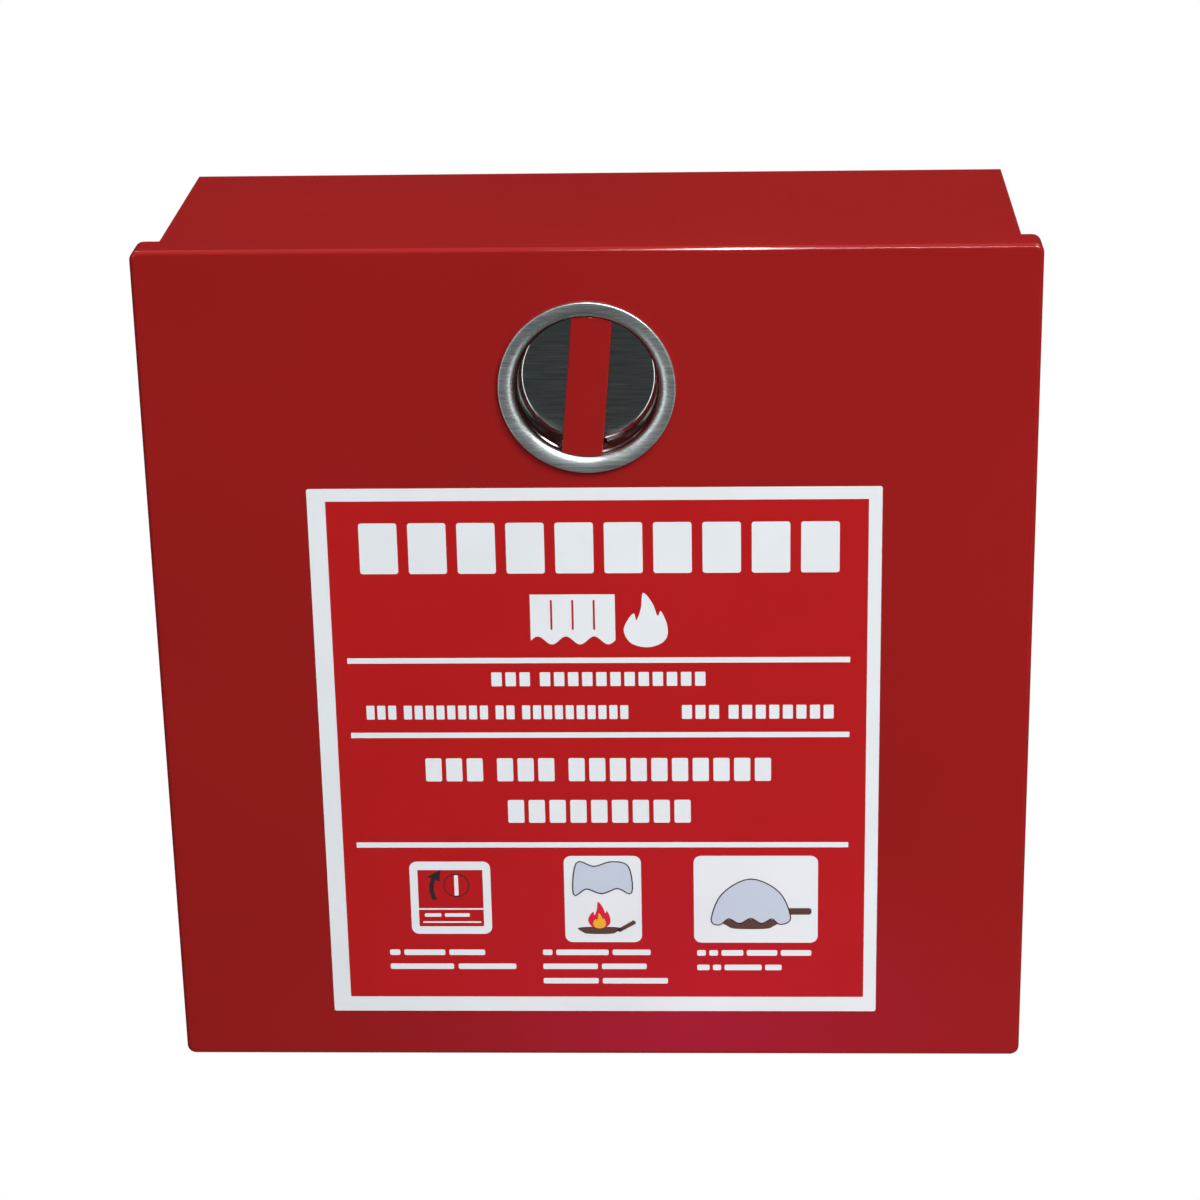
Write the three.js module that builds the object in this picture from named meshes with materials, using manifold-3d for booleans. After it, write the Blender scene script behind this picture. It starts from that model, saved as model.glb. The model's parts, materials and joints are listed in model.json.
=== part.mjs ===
// Wall box for a fire blanket: a sheet-steel cabinet, a bottom-hinged door with a quarter-turn
// latch in a recessed bowl, and the folded blanket inside.
// Millimetres. +X right, +Y into the wall, +Z up. The origin is the middle of the cabinet's back.
import * as THREE from 'three';
import { mergeVertices } from 'three/addons/utils/BufferGeometryUtils.js';
import Module from 'manifold-3d';

const wasm = await Module();
wasm.setup();

// Driving dimensions.
const SHEET = 1;                    // thickness of the steel sheet
const GAP = 0.3;                    // space kept between pieces that rest on each other
const BEND = 2;                     // outer radius of a bend
const DEPTH = 120;                  // door front to wall

const DOOR_SIZE = 300;
const DOOR_FLANGE = 13;
const DOOR_CORNER = 3;
const DOOR_EDGE = 2.2;

const BODY_SIZE = 290;
const BODY_FRONT = -117.5;
const BODY_LIP = 12;
const KEYHOLE_X = 90;
const KEYHOLE_Z = 95;
const KEYHOLE_HEAD_R = 5;
const KEYHOLE_NECK_R = 2.8;
const KEYHOLE_RISE = 12;

const HINGE_X = 95;                 // middle of each hinge
const HINGE_LENGTH = 50;
const HINGE_Y = -104;
const HINGE_Z = -147.6;
const HINGE_LEAF = 1;
const CABINET_LEAF_END = -85;
const DOOR_LEAF_END = -117;
const KNUCKLE_R = 2.3;
const KNUCKLE_BORE_R = 1.25;
const KNUCKLE_MIDDLE = 16.2;        // length of the door leaf's single knuckle
const KNUCKLE_GAP = 0.4;
const HINGE_PIN_R = 1.1;
const LEAF_START = 2.8;             // where the flat of a leaf begins, from the hinge's axis
const RIVET_R = 1.5;
const RIVET_HOLE_R = 1.75;
const RIVET_HEAD_R = 2.8;
const RIVET_OFFSET = 16;            // from the middle of a hinge, along X
const CABINET_RIVET_Y = -91.5;
const DOOR_RIVET_Y = -112;

const LABEL_WIDTH = 194;
const LABEL_HEIGHT = 199;
const LABEL_X = 1.5;
const LABEL_Z = -32.5;
const LABEL_THICKNESS = 0.3;

const LATCH_Z = 102.3;
const LATCH_REST = THREE.MathUtils.degToRad(5);

// Radii and widths of the latch.
const BOWL_HOLE_R = 26.8;
const BOWL_RIM_R = 29.65;
const BOWL_MOUTH_R = 25.2;
const BOWL_FLOOR_R = 23.2;
const BAR_WIDTH = 13.6;
const SPINDLE_R = 4.2;
const SPINDLE_SQUARE = 7;
const SPINDLE_BORE_R = 4.6;
const SLEEVE_R = 5.5;
const SLEEVE_HOLE_R = 5.8;
const NUT_R = 9.8;
const BRIDGE_WIDTH = 14;
const CAM_REACH = 37;
const CAM_WIDTH = 16;
const BOLT_R = 1.95;
const BOLT_HOLE_R = 2.25;

// Depths behind the door's front.
const BOWL_RIM = 1.4;               // how far the rim stands proud of the door
const BOWL_DEPTH = 13.5;
const BRIDGE_START = 16.6;
const BRIDGE_THICKNESS = 1.5;
const NUT_START = 18.4;
const NUT_THICKNESS = 3.6;
const SLEEVE_END = 22.6;
const STRIKE_START = 21.2;
const STRIKE_THICKNESS = 1.5;
const CAM_START = 23.2;
const CAM_THICKNESS = 2.5;
const WASHER_START = CAM_START + CAM_THICKNESS + 2 * GAP;
const WASHER_THICKNESS = 1;
const BOLT_HEAD_START = WASHER_START + WASHER_THICKNESS + GAP;
const BOLT_HEAD = 2.8;
const BOLT_END = 17;                // how far the bolt reaches into the spindle
const BOLT_HOLE_END = 16;

const BLANKET = { x: 132, back: -2.5, front: -87, bottom: -141.5, top: 113.5 };
const TAPE_X = 70;
const TAPE_WIDTH = 40;
const TAPE_THICKNESS = 1.8;
const TAPE_BOTTOM = -20;
const TAPE_TOP = 104;

const ROUND = 48;                   // facets of a large, a middling and a small circle
const MIDDLING = 24;
const SMALL = 16;
const HEXAGON = 6;

// ---------------------------------------------------------------- shapes and solids

// An outline whose corners are [x, y, radius].
function roundedShape(corners) {
  const shape = new THREE.Shape();
  corners.forEach(([x, y, radius], index) => {
    const corner = new THREE.Vector2(x, y);
    const before = corners.at(index - 1);
    const after = corners[(index + 1) % corners.length];
    const toBefore = new THREE.Vector2(before[0] - x, before[1] - y).normalize();
    const toAfter = new THREE.Vector2(after[0] - x, after[1] - y).normalize();
    const halfAngle = Math.acos(toBefore.dot(toAfter)) / 2;
    const start = corner.clone().addScaledVector(toBefore, radius / Math.tan(halfAngle));
    if (index === 0) shape.moveTo(start.x, start.y);
    else shape.lineTo(start.x, start.y);
    if (radius === 0) return;
    const inward = toBefore.clone().add(toAfter).normalize();
    const centre = corner.clone().addScaledVector(inward, radius / Math.sin(halfAngle));
    const end = corner.clone().addScaledVector(toAfter, radius / Math.tan(halfAngle));
    const startAngle = start.sub(centre).angle();
    const endAngle = end.sub(centre).angle();
    shape.absarc(centre.x, centre.y, radius, startAngle, endAngle, toBefore.cross(toAfter) > 0);
  });
  return shape;
}

function rectangle(width, height, radius, x = 0, y = 0) {
  const right = x + width / 2;
  const left = x - width / 2;
  const top = y + height / 2;
  const bottom = y - height / 2;
  return roundedShape([
    [left, bottom, radius],
    [right, bottom, radius],
    [right, top, radius],
    [left, top, radius],
  ]);
}

const toSolid = (geometry) => {
  geometry.deleteAttribute('normal');
  geometry.deleteAttribute('uv');
  const merged = mergeVertices(geometry);
  return new wasm.Manifold(new wasm.Mesh({
    numProp: 3,
    vertProperties: merged.attributes.position.array,
    triVerts: Uint32Array.from(merged.index.array),
  }));
};

const AXIS_X = new THREE.Vector3(1, 0, 0);
const AXIS_Y = new THREE.Vector3(0, 1, 0);
const AXIS_Z = new THREE.Vector3(0, 0, 1);
const ALONG_X = new THREE.Matrix4().makeBasis(AXIS_Y, AXIS_Z, AXIS_X);
const ALONG_MINUS_Y = new THREE.Matrix4().makeBasis(AXIS_X, AXIS_Z, AXIS_Y.clone().negate());

function extruded(shape, depth, curveSegments = 3, bevel = {}) {
  return new THREE.ExtrudeGeometry(shape, { depth, curveSegments, bevelEnabled: false, ...bevel });
}

// A plan outline (x, y) raised along Z.
const raised = (shape, low, high) => toSolid(extruded(shape, high - low).translate(0, 0, low));

// A side outline (y, z) drawn out along X.
const drawnOut = (shape, low, high) => (
  toSolid(extruded(shape, high - low).applyMatrix4(ALONG_X).translate(low, 0, 0)));

// A front outline (x, z) pushed through from y = front to y = back.
const pushed = (shape, front, back, curveSegments = 3) => (
  toSolid(extruded(shape, back - front, curveSegments).applyMatrix4(ALONG_MINUS_Y).translate(0, back, 0)));

function block(low, high) {
  const size = high.map((value, axis) => value - low[axis]);
  const middle = high.map((value, axis) => (value + low[axis]) / 2);
  return toSolid(new THREE.BoxGeometry(...size).translate(...middle));
}

// Cylinders along each axis.
const cylinderY = (radius, low, high, facets, x = 0, z = 0) => (
  toSolid(new THREE.CylinderGeometry(radius, radius, high - low, facets).translate(x, (low + high) / 2, z)));
const cylinderX = (radius, low, high, facets, y, z) => toSolid(
  new THREE.CylinderGeometry(radius, radius, high - low, facets).rotateZ(Math.PI / 2)
    .translate((low + high) / 2, y, z));
const cylinderZ = (radius, low, high, facets, x, y) => toSolid(
  new THREE.CylinderGeometry(radius, radius, high - low, facets).rotateX(Math.PI / 2)
    .translate(x, y, (low + high) / 2));

// A closed outline (radius, y) turned about the Y axis.
function turned(shape, facets) {
  const outline = shape.getPoints(2);
  if (outline.at(-1).distanceTo(outline[0]) < 1e-6) outline.pop();
  outline.push(outline[0].clone());
  return toSolid(new THREE.LatheGeometry(outline, facets));
}

// ---------------------------------------------------------------- materials and meshes

const FINISHES = {
  red_paint: { color: 0x9b1c1e, roughness: 0.3, metalness: 0 },
  label: { color: 0xdde0e9, roughness: 0.35, metalness: 0 },
  stainless: { color: 0x8f9496, roughness: 0.28, metalness: 1 },
  zinc: { color: 0xa9adb0, roughness: 0.42, metalness: 1 },
  glass_cloth: { color: 0xe4e2da, roughness: 0.9, metalness: 0 },
  tape: { color: 0x1d1d1f, roughness: 0.85, metalness: 0 },
};

function named(name, finish, solid) {
  const { vertProperties, triVerts } = solid.getMesh();
  const geometry = new THREE.BufferGeometry();
  geometry.setAttribute('position', new THREE.BufferAttribute(vertProperties, 3));
  geometry.setIndex(new THREE.BufferAttribute(triVerts, 1));
  const mesh = new THREE.Mesh(geometry, new THREE.MeshStandardMaterial(FINISHES[finish]));
  mesh.name = name;
  return mesh;
}

// ---------------------------------------------------------------- cabinet

// Back and both sides, folded from one sheet, with a return lip at the front of each side.
function cabinetWrap() {
  const half = BODY_SIZE / 2;
  const inner = half - SHEET;
  const lipEnd = half - BODY_LIP;
  const bend = BEND - SHEET;
  const rightHalf = [
    [half, 0, BEND],
    [half, BODY_FRONT, BEND],
    [lipEnd, BODY_FRONT, 0],
    [lipEnd, BODY_FRONT + SHEET, 0],
    [inner, BODY_FRONT + SHEET, bend],
    [inner, -SHEET, bend],
  ];
  const mirrored = rightHalf.map(([x, y, radius]) => [-x, y, radius]).reverse();
  const height = half - SHEET - GAP / 2;
  let wrap = raised(roundedShape([...rightHalf, ...mirrored]), -height, height);
  for (const side of [-1, 1]) {
    const x = side * KEYHOLE_X;
    const neckTop = KEYHOLE_Z + KEYHOLE_RISE;
    wrap = wrap.subtract(cylinderY(KEYHOLE_HEAD_R, -2 * SHEET, SHEET, MIDDLING, x, KEYHOLE_Z));
    wrap = wrap.subtract(cylinderY(KEYHOLE_NECK_R, -2 * SHEET, SHEET, SMALL, x, neckTop));
    wrap = wrap.subtract(block(
      [x - KEYHOLE_NECK_R, -2 * SHEET, KEYHOLE_Z],
      [x + KEYHOLE_NECK_R, SHEET, neckTop],
    ));
  }
  return wrap;
}

// Top (side = 1) or bottom (side = -1) of the cabinet: a plate with a lip between the side lips.
function endPanel(side) {
  const half = BODY_SIZE / 2;
  const outer = side * half;
  const inner = side * (half - SHEET);
  const lipEnd = side * (half - BODY_LIP);
  const outline = roundedShape([
    [0, outer, 0],
    [BODY_FRONT, outer, BEND],
    [BODY_FRONT, lipEnd, 0],
    [BODY_FRONT + SHEET, lipEnd, 0],
    [BODY_FRONT + SHEET, inner, BEND - SHEET],
    [0, inner, 0],
  ]);
  let panel = drawnOut(outline, -half, half);
  const notchX = half - BODY_LIP - GAP;
  const notchZ = [side * (half - 2 * BODY_LIP), inner].sort((a, b) => a - b);
  for (const x of [[-half - SHEET, -notchX], [notchX, half + SHEET]]) {
    panel = panel.subtract(block(
      [x[0], BODY_FRONT - SHEET, notchZ[0]],
      [x[1], BODY_FRONT + BEND, notchZ[1]],
    ));
  }
  return panel;
}

function bottomPanel() {
  let panel = endPanel(-1);
  const half = BODY_SIZE / 2;
  for (const x of rivetPlaces()) {
    panel = panel.subtract(
      cylinderZ(RIVET_HOLE_R, -half - SHEET, -half + 2 * SHEET, SMALL, x, CABINET_RIVET_Y));
  }
  return panel;
}

// The bracket under the cabinet's top that the cam catches behind: a foot and a leg.
function strikePlate() {
  const top = BODY_SIZE / 2 - SHEET - GAP;
  const legFront = -DEPTH + STRIKE_START;
  const legBack = legFront + STRIKE_THICKNESS;
  const footFront = -112;
  const legBottom = 130;
  const halfWidth = 15;
  const outline = roundedShape([
    [footFront, top, 0],
    [legBack, top, BEND + STRIKE_THICKNESS - SHEET],
    [legBack, legBottom, 0],
    [legFront, legBottom, 0],
    [legFront, top - STRIKE_THICKNESS, BEND - SHEET],
    [footFront, top - STRIKE_THICKNESS, 0],
  ]);
  return drawnOut(outline, -halfWidth, halfWidth);
}

// ---------------------------------------------------------------- hinges

const rivetPlaces = () => [-1, 1].flatMap((side) => (
  [-1, 1].map((offset) => side * HINGE_X + offset * RIVET_OFFSET)));

function knuckle(low, high) {
  return cylinderX(KNUCKLE_R, low, high, MIDDLING, HINGE_Y, HINGE_Z);
}

function knuckleBore(middle) {
  const start = middle - HINGE_LENGTH;
  const end = middle + HINGE_LENGTH;
  return cylinderX(KNUCKLE_BORE_R, start, end, SMALL, HINGE_Y, HINGE_Z);
}

function rivetHole(x, y) {
  return cylinderZ(RIVET_HOLE_R, HINGE_Z - 2 * KNUCKLE_R, HINGE_Z + 2 * KNUCKLE_R, SMALL, x, y);
}

// The leaf under the cabinet, with a knuckle at each end.
function cabinetLeaf(middle) {
  const half = HINGE_LENGTH / 2;
  const top = HINGE_Z + KNUCKLE_R;
  const inner = KNUCKLE_MIDDLE / 2 + KNUCKLE_GAP;
  let leaf = block(
    [middle - half, HINGE_Y + LEAF_START, top - HINGE_LEAF],
    [middle + half, CABINET_LEAF_END, top],
  );
  for (const [low, high] of [[-half, -inner], [inner, half]]) {
    leaf = leaf.add(knuckle(middle + low, middle + high));
    leaf = leaf.add(block(
      [middle + low, HINGE_Y, top - HINGE_LEAF],
      [middle + high, HINGE_Y + LEAF_START + SHEET, top],
    ));
  }
  leaf = leaf.subtract(knuckleBore(middle));
  for (const offset of [-RIVET_OFFSET, RIVET_OFFSET]) {
    leaf = leaf.subtract(rivetHole(middle + offset, CABINET_RIVET_Y));
  }
  return leaf;
}

// The leaf on the door's bottom flange, with the middle knuckle.
function doorLeaf(middle) {
  const half = HINGE_LENGTH / 2;
  const bottom = -DOOR_SIZE / 2 + SHEET + GAP;
  const top = bottom + HINGE_LEAF;
  const finger = KNUCKLE_MIDDLE / 2;
  let leaf = block(
    [middle - half, DOOR_LEAF_END, bottom],
    [middle + half, HINGE_Y - LEAF_START, top],
  );
  leaf = leaf.add(knuckle(middle - finger, middle + finger));
  leaf = leaf.add(block(
    [middle - finger, HINGE_Y - LEAF_START - SHEET, bottom],
    [middle + finger, HINGE_Y, top],
  ));
  leaf = leaf.subtract(knuckleBore(middle));
  for (const offset of [-RIVET_OFFSET, RIVET_OFFSET]) {
    leaf = leaf.subtract(rivetHole(middle + offset, DOOR_RIVET_Y));
  }
  return leaf;
}

function hingePin(middle) {
  const half = HINGE_LENGTH / 2;
  return cylinderX(HINGE_PIN_R, middle - half, middle + half, SMALL, HINGE_Y, HINGE_Z);
}

// A rivet along Z: a domed head below, the shank, and the flattened end above.
function rivet(x, y, gripLow, gripHigh) {
  const headHeight = 1;
  const endHeight = 0.8;
  const headTop = gripLow - GAP;
  const endBottom = gripHigh + GAP;
  const outline = roundedShape([
    [0, headTop - headHeight, 0],
    [RIVET_HEAD_R, headTop - headHeight, 0.8],
    [RIVET_HEAD_R, headTop, 0],
    [RIVET_R, headTop, 0],
    [RIVET_R, endBottom, 0],
    [RIVET_R + 0.9, endBottom, 0],
    [RIVET_R + 0.9, endBottom + endHeight, 0.4],
    [0, endBottom + endHeight, 0],
  ]);
  const upright = new THREE.LatheGeometry(outline.getPoints(1), SMALL).rotateX(Math.PI / 2);
  return toSolid(upright.translate(x, y, 0));
}

const cabinetRivet = (x) => rivet(
  x, CABINET_RIVET_Y, HINGE_Z + KNUCKLE_R - HINGE_LEAF, -BODY_SIZE / 2 + SHEET);
const doorRivet = (x) => rivet(
  x, DOOR_RIVET_Y, -DOOR_SIZE / 2, -DOOR_SIZE / 2 + SHEET + GAP + HINGE_LEAF);

// ---------------------------------------------------------------- door

// A block with rounded corners and a rounded front edge.
function cushionBlock(size, corner, edge, front, back) {
  const bevel = {
    bevelEnabled: true,
    bevelThickness: edge,
    bevelSize: edge,
    bevelOffset: -edge,
    bevelSegments: 3,
  };
  const depth = back - front - 2 * edge;
  const geometry = extruded(rectangle(size, size, corner), depth, 4, bevel);
  return toSolid(geometry.applyMatrix4(ALONG_MINUS_Y).translate(0, back - edge, 0));
}

// A shallow pan with a flange all round and the hole for the latch bowl.
function doorPanel() {
  const flangeEnd = -DEPTH + DOOR_FLANGE;
  const beyond = flangeEnd + 2 * DOOR_FLANGE;
  const innerSize = DOOR_SIZE - 2 * SHEET;
  const outer = cushionBlock(DOOR_SIZE, DOOR_CORNER, DOOR_EDGE, -DEPTH, beyond);
  const inner = cushionBlock(
    innerSize, DOOR_CORNER - SHEET, DOOR_EDGE - SHEET, -DEPTH + SHEET, beyond + DOOR_FLANGE);
  const behind = block([-DOOR_SIZE, flangeEnd, -DOOR_SIZE], [DOOR_SIZE, beyond + SHEET, DOOR_SIZE]);
  let pan = outer.subtract(inner).subtract(behind);
  pan = pan.subtract(cylinderY(BOWL_HOLE_R, -DEPTH - SHEET, -DEPTH + 2 * SHEET, ROUND, 0, LATCH_Z));
  for (const x of rivetPlaces()) {
    pan = pan.subtract(rivetHole(x, DOOR_RIVET_Y));
  }
  return pan;
}

function doorLabel() {
  const back = -DEPTH - GAP / 3;
  const outline = rectangle(LABEL_WIDTH, LABEL_HEIGHT, 1.5, LABEL_X, LABEL_Z);
  return pushed(outline, back - LABEL_THICKNESS, back);
}

// ---------------------------------------------------------------- latch
// These are drawn about the latch's axis: y is the depth behind the door's front.

function latchBowl() {
  const rim = -BOWL_RIM;
  const floorBack = BOWL_DEPTH + SHEET;
  const rimBack = -GAP / 2;
  const wall = 1.15;
  return turned(roundedShape([
    [SPINDLE_BORE_R, BOWL_DEPTH, 0],
    [BOWL_FLOOR_R, BOWL_DEPTH, 3],
    [BOWL_MOUTH_R, rim, 1.6],
    [BOWL_RIM_R, rim, 0.5],
    [BOWL_RIM_R, rimBack, 0],
    [BOWL_MOUTH_R + wall, rimBack, 0.5],
    [BOWL_FLOOR_R + wall, floorBack, 4],
    [SPINDLE_BORE_R, floorBack, 0],
  ]), ROUND);
}

// The strap behind the door that the nut draws against the door's inside.
function clampBridge() {
  const plateBack = BRIDGE_START + BRIDGE_THICKNESS;
  const footFront = SHEET + GAP;
  const footBack = footFront + BRIDGE_THICKNESS;
  const footEnd = 34;
  const legInner = 28;
  const legOuter = legInner + BRIDGE_THICKNESS;
  const innerBend = BEND - SHEET;
  const outerBend = innerBend + BRIDGE_THICKNESS;
  const rightHalf = [
    [legInner, BRIDGE_START, innerBend],
    [legInner, footFront, outerBend],
    [footEnd, footFront, 0],
    [footEnd, footBack, 0],
    [legOuter, footBack, innerBend],
    [legOuter, plateBack, outerBend],
  ];
  const leftHalf = rightHalf.map(([x, y, radius]) => [-x, y, radius]).reverse();
  const outline = roundedShape([...rightHalf, ...leftHalf]);
  const hole = cylinderY(SLEEVE_HOLE_R, BRIDGE_START - SHEET, plateBack + SHEET, MIDDLING);
  return raised(outline, -BRIDGE_WIDTH / 2, BRIDGE_WIDTH / 2).subtract(hole);
}

function bearingSleeve() {
  const start = BOWL_DEPTH + SHEET + GAP;
  const tube = cylinderY(SLEEVE_R, start, SLEEVE_END, MIDDLING);
  return tube.subtract(cylinderY(SPINDLE_BORE_R, start - SHEET, SLEEVE_END + SHEET, MIDDLING));
}

function sleeveNut() {
  const end = NUT_START + NUT_THICKNESS;
  const nut = cylinderY(NUT_R, NUT_START, end, HEXAGON);
  return nut.subtract(cylinderY(SLEEVE_HOLE_R, NUT_START - SHEET, end + SHEET, MIDDLING));
}

// The finger bar across the bowl; its ends follow the bowl's wall.
function turnBar() {
  const front = 0.2;
  const back = BOWL_DEPTH - 2 * GAP;
  const half = BAR_WIDTH / 2;
  const crossSection = roundedShape([
    [-half, front, 1],
    [half, front, 1],
    [half, back, 0.6],
    [-half, back, 0.6],
  ]);
  const insideBowl = turned(roundedShape([
    [0, front - SHEET, 0],
    [BOWL_MOUTH_R - 2 * GAP, front - SHEET, 0],
    [BOWL_FLOOR_R - 2 * GAP, back, 3],
    [0, back, 0],
  ]), ROUND);
  return raised(crossSection, -BOWL_RIM_R, BOWL_RIM_R).intersect(insideBowl);
}

function spindle() {
  const start = BOWL_DEPTH - GAP;
  const squareStart = CAM_START - GAP;
  const end = CAM_START + CAM_THICKNESS + GAP;
  const half = SPINDLE_SQUARE / 2;
  const round = cylinderY(SPINDLE_R, start, squareStart, MIDDLING);
  const square = block([-half, squareStart - GAP / 2, -half], [half, end, half]);
  return round.add(square).subtract(cylinderY(BOLT_HOLE_R, BOLT_HOLE_END, end + SHEET, SMALL));
}

function cam() {
  const hub = 9;
  const half = CAM_WIDTH / 2;
  const outline = roundedShape([
    [-half, -hub, half - 0.5],
    [half, -hub, half - 0.5],
    [half, CAM_REACH, 3],
    [-half, CAM_REACH, 3],
  ]);
  const end = CAM_START + CAM_THICKNESS;
  const hole = SPINDLE_SQUARE / 2 + GAP;
  return pushed(outline, CAM_START, end).subtract(
    block([-hole, CAM_START - SHEET, -hole], [hole, end + SHEET, hole]));
}

function camWasher() {
  const end = WASHER_START + WASHER_THICKNESS;
  const washer = cylinderY(CAM_WIDTH / 2, WASHER_START, end, MIDDLING);
  return washer.subtract(cylinderY(BOLT_HOLE_R, WASHER_START - SHEET, end + SHEET, SMALL));
}

function camBolt() {
  const shank = cylinderY(BOLT_R, BOLT_END, BOLT_HEAD_START + SHEET, SMALL);
  const head = cylinderY(2 * BOLT_R, BOLT_HEAD_START, BOLT_HEAD_START + BOLT_HEAD, HEXAGON);
  return shank.add(head);
}

// ---------------------------------------------------------------- blanket

function foldedBlanket() {
  const { x, back, front, bottom, top } = BLANKET;
  const outline = rectangle(2 * x, top - bottom, 6, 0, (top + bottom) / 2);
  return pushed(outline, front, back);
}

function pullTape(x) {
  const back = BLANKET.front - GAP;
  const outline = rectangle(TAPE_WIDTH, TAPE_TOP - TAPE_BOTTOM, 2, x, (TAPE_TOP + TAPE_BOTTOM) / 2);
  return pushed(outline, back - TAPE_THICKNESS, back);
}

// ---------------------------------------------------------------- assembly

const SIDES = { left: -1, right: 1 };
const PLACES = ['left_outer', 'left_inner', 'right_inner', 'right_outer'];

const cabinet = new THREE.Group();
cabinet.add(
  named('cabinet_wrap', 'red_paint', cabinetWrap()),
  named('top_panel', 'red_paint', endPanel(1)),
  named('bottom_panel', 'red_paint', bottomPanel()),
  named('strike_plate', 'zinc', strikePlate()),
  named('folded_blanket', 'glass_cloth', foldedBlanket()),
);

const door = new THREE.Group();
door.add(
  named('door_panel', 'red_paint', doorPanel()),
  named('door_label', 'label', doorLabel()),
);

for (const [word, side] of Object.entries(SIDES)) {
  cabinet.add(
    named(`hinge_leaf_cabinet_${word}`, 'zinc', cabinetLeaf(side * HINGE_X)),
    named(`hinge_pin_${word}`, 'zinc', hingePin(side * HINGE_X)),
    named(`pull_tape_${word}`, 'tape', pullTape(side * TAPE_X)),
  );
  door.add(named(`hinge_leaf_door_${word}`, 'zinc', doorLeaf(side * HINGE_X)));
}

rivetPlaces().forEach((x, index) => {
  cabinet.add(named(`rivet_cabinet_${PLACES[index]}`, 'zinc', cabinetRivet(x)));
  door.add(named(`rivet_door_${PLACES[index]}`, 'zinc', doorRivet(x)));
});

const latchSeat = new THREE.Group();
latchSeat.position.set(0, -DEPTH, LATCH_Z);
latchSeat.add(
  named('latch_bowl', 'stainless', latchBowl()),
  named('clamp_bridge', 'zinc', clampBridge()),
  named('bearing_sleeve', 'zinc', bearingSleeve()),
  named('sleeve_nut', 'zinc', sleeveNut()),
);

const latch = new THREE.Group();
latch.rotation.y = LATCH_REST;
latch.add(
  named('turn_bar', 'red_paint', turnBar()),
  named('spindle', 'zinc', spindle()),
  named('cam', 'zinc', cam()),
  named('cam_washer', 'zinc', camWasher()),
  named('cam_bolt', 'zinc', camBolt()),
);
latchSeat.add(latch);
door.add(latchSeat);

const blanketBox = new THREE.Group();
blanketBox.add(cabinet, door);

export default blanketBox;
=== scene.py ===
"""A wall box for a fire blanket: red powder-coated sheet steel, a flap door with a printed
label and a recessed turn latch, and the folded glass-fibre blanket inside.

Lengths are in millimetres in this script's own shapes and become metres in make_mesh.
"""
import json
import math

import bmesh
import bpy
from mathutils import Matrix, Vector

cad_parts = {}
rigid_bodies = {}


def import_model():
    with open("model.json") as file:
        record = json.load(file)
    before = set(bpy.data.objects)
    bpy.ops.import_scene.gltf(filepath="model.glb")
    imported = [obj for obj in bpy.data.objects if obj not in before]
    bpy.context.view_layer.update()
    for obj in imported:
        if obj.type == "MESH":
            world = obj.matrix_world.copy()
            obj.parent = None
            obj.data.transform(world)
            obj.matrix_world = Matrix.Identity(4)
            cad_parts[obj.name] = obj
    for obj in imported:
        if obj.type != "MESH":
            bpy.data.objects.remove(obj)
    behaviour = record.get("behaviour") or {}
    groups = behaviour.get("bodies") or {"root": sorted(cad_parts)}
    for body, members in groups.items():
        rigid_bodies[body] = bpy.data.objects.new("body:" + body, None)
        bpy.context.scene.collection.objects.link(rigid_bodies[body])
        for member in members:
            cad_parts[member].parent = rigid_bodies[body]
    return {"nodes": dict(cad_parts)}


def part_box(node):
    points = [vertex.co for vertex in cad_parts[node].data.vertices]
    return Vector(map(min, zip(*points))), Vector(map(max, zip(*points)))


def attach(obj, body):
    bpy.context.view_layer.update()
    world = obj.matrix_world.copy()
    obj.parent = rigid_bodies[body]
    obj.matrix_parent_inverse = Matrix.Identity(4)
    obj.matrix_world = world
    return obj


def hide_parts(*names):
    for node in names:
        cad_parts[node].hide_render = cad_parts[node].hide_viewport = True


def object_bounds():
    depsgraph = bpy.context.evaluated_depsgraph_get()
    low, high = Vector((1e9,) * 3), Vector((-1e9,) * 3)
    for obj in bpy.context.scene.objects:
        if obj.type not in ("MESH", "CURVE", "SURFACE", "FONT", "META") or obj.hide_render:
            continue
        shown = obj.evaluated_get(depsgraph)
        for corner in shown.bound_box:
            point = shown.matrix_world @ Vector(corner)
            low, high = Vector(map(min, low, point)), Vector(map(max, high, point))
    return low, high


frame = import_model()
cad_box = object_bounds()

MM = 0.001
FINE = 160  # facets of a large circle
ROUND = 64  # facets of a small one
RIVET_ROUND = 32  # facets of a rivet
LARGE_FACE = 30  # square millimetres; a larger face is shaded flat


# ---------------------------------------------------------------- mesh helpers


def node_box(node):
    """A CAD node's lowest and highest corner in millimetres."""
    low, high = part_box(node)
    return low / MM, high / MM


def node_middle(node):
    """The middle of a CAD node's box in millimetres."""
    low, high = node_box(node)
    return (low + high) / 2


def make_mesh(name, points, faces):
    """A mesh object from points in millimetres."""
    mesh = bpy.data.meshes.new(name)
    mesh.from_pydata([Vector(p) * MM for p in points], [], faces)
    mesh.update()
    piece = bpy.data.objects.new(name, mesh)
    bpy.context.scene.collection.objects.link(piece)
    return piece


def face_out(piece):
    """Turns every face outwards."""
    work = bmesh.new()
    work.from_mesh(piece.data)
    bmesh.ops.recalc_face_normals(work, faces=work.faces)
    work.to_mesh(piece.data)
    work.free()


def skin_faces(first, count, rings, closed=False):
    """Faces over rings of count points each, numbered on from first; the ends are capped
    unless the last ring joins the first."""
    faces = []
    for ring in range(rings if closed else rings - 1):
        here, there = first + ring * count, first + (ring + 1) % rings * count
        for i in range(count):
            after = (i + 1) % count
            faces.append((here + i, here + after, there + after, there + i))
    if not closed:
        last = first + (rings - 1) * count
        faces.append(tuple(range(first, first + count)))
        faces.append(tuple(range(last, last + count)))
    return faces


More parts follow.
